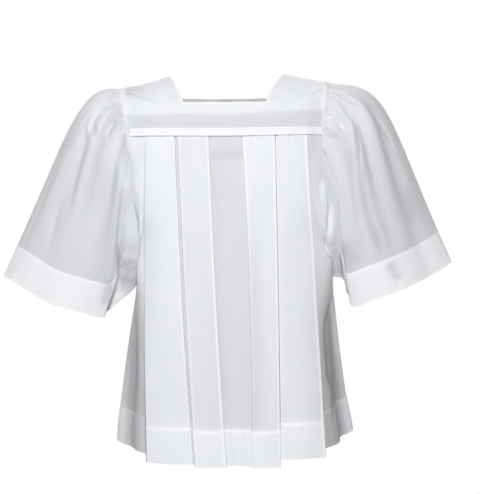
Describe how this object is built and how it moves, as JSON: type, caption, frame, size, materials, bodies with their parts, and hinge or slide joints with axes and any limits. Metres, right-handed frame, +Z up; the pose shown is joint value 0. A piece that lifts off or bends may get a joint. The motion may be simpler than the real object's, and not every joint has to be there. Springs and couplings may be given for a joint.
{
  "type": "surplice",
  "caption": "White square-yoke surplice with pressed box pleats front and back, a flat band under the yoke, short gathered bell sleeves and deep hems, hollow as worn.",
  "frame": {"origin": "midway between the two points where the neckline crosses the shoulders, between the wearer's neck sides", "axes": "+Z up along the wearer, -Y to the garment's front, +X to the viewer's right seen from the front"},
  "size_m": [0.8705, 0.328, 0.7361],
  "materials": {
    "yoke_front": "plain woven white cloth, pressed",
    "yoke_back": "plain woven white cloth, pressed",
    "yoke_band_front": "plain woven white cloth, doubled",
    "yoke_band_back": "plain woven white cloth, doubled",
    "neck_facing_front": "plain woven white cloth, doubled",
    "neck_facing_back": "plain woven white cloth, doubled",
    "front_panel": "plain woven white cloth, pressed",
    "back_panel": "plain woven white cloth, pressed",
    "front_hem": "plain woven white cloth, doubled",
    "back_hem": "plain woven white cloth, doubled",
    "sleeve_left": "plain woven white cloth, pressed",
    "sleeve_right": "plain woven white cloth, pressed",
    "cuff_left": "plain woven white cloth, doubled",
    "cuff_right": "plain woven white cloth, doubled"
  },
  "bodies": {
    "root": {"yoke_front": "yoke_front", "yoke_back": "yoke_back", "yoke_band_front": "yoke_band_front", "yoke_band_back": "yoke_band_back", "neck_facing_front": "neck_facing_front", "neck_facing_back": "neck_facing_back", "front_panel": "front_panel", "back_panel": "back_panel", "front_hem": "front_hem", "back_hem": "back_hem", "sleeve_left": "sleeve_left", "sleeve_right": "sleeve_right", "cuff_left": "cuff_left", "cuff_right": "cuff_right"}
  },
  "joints": []
}
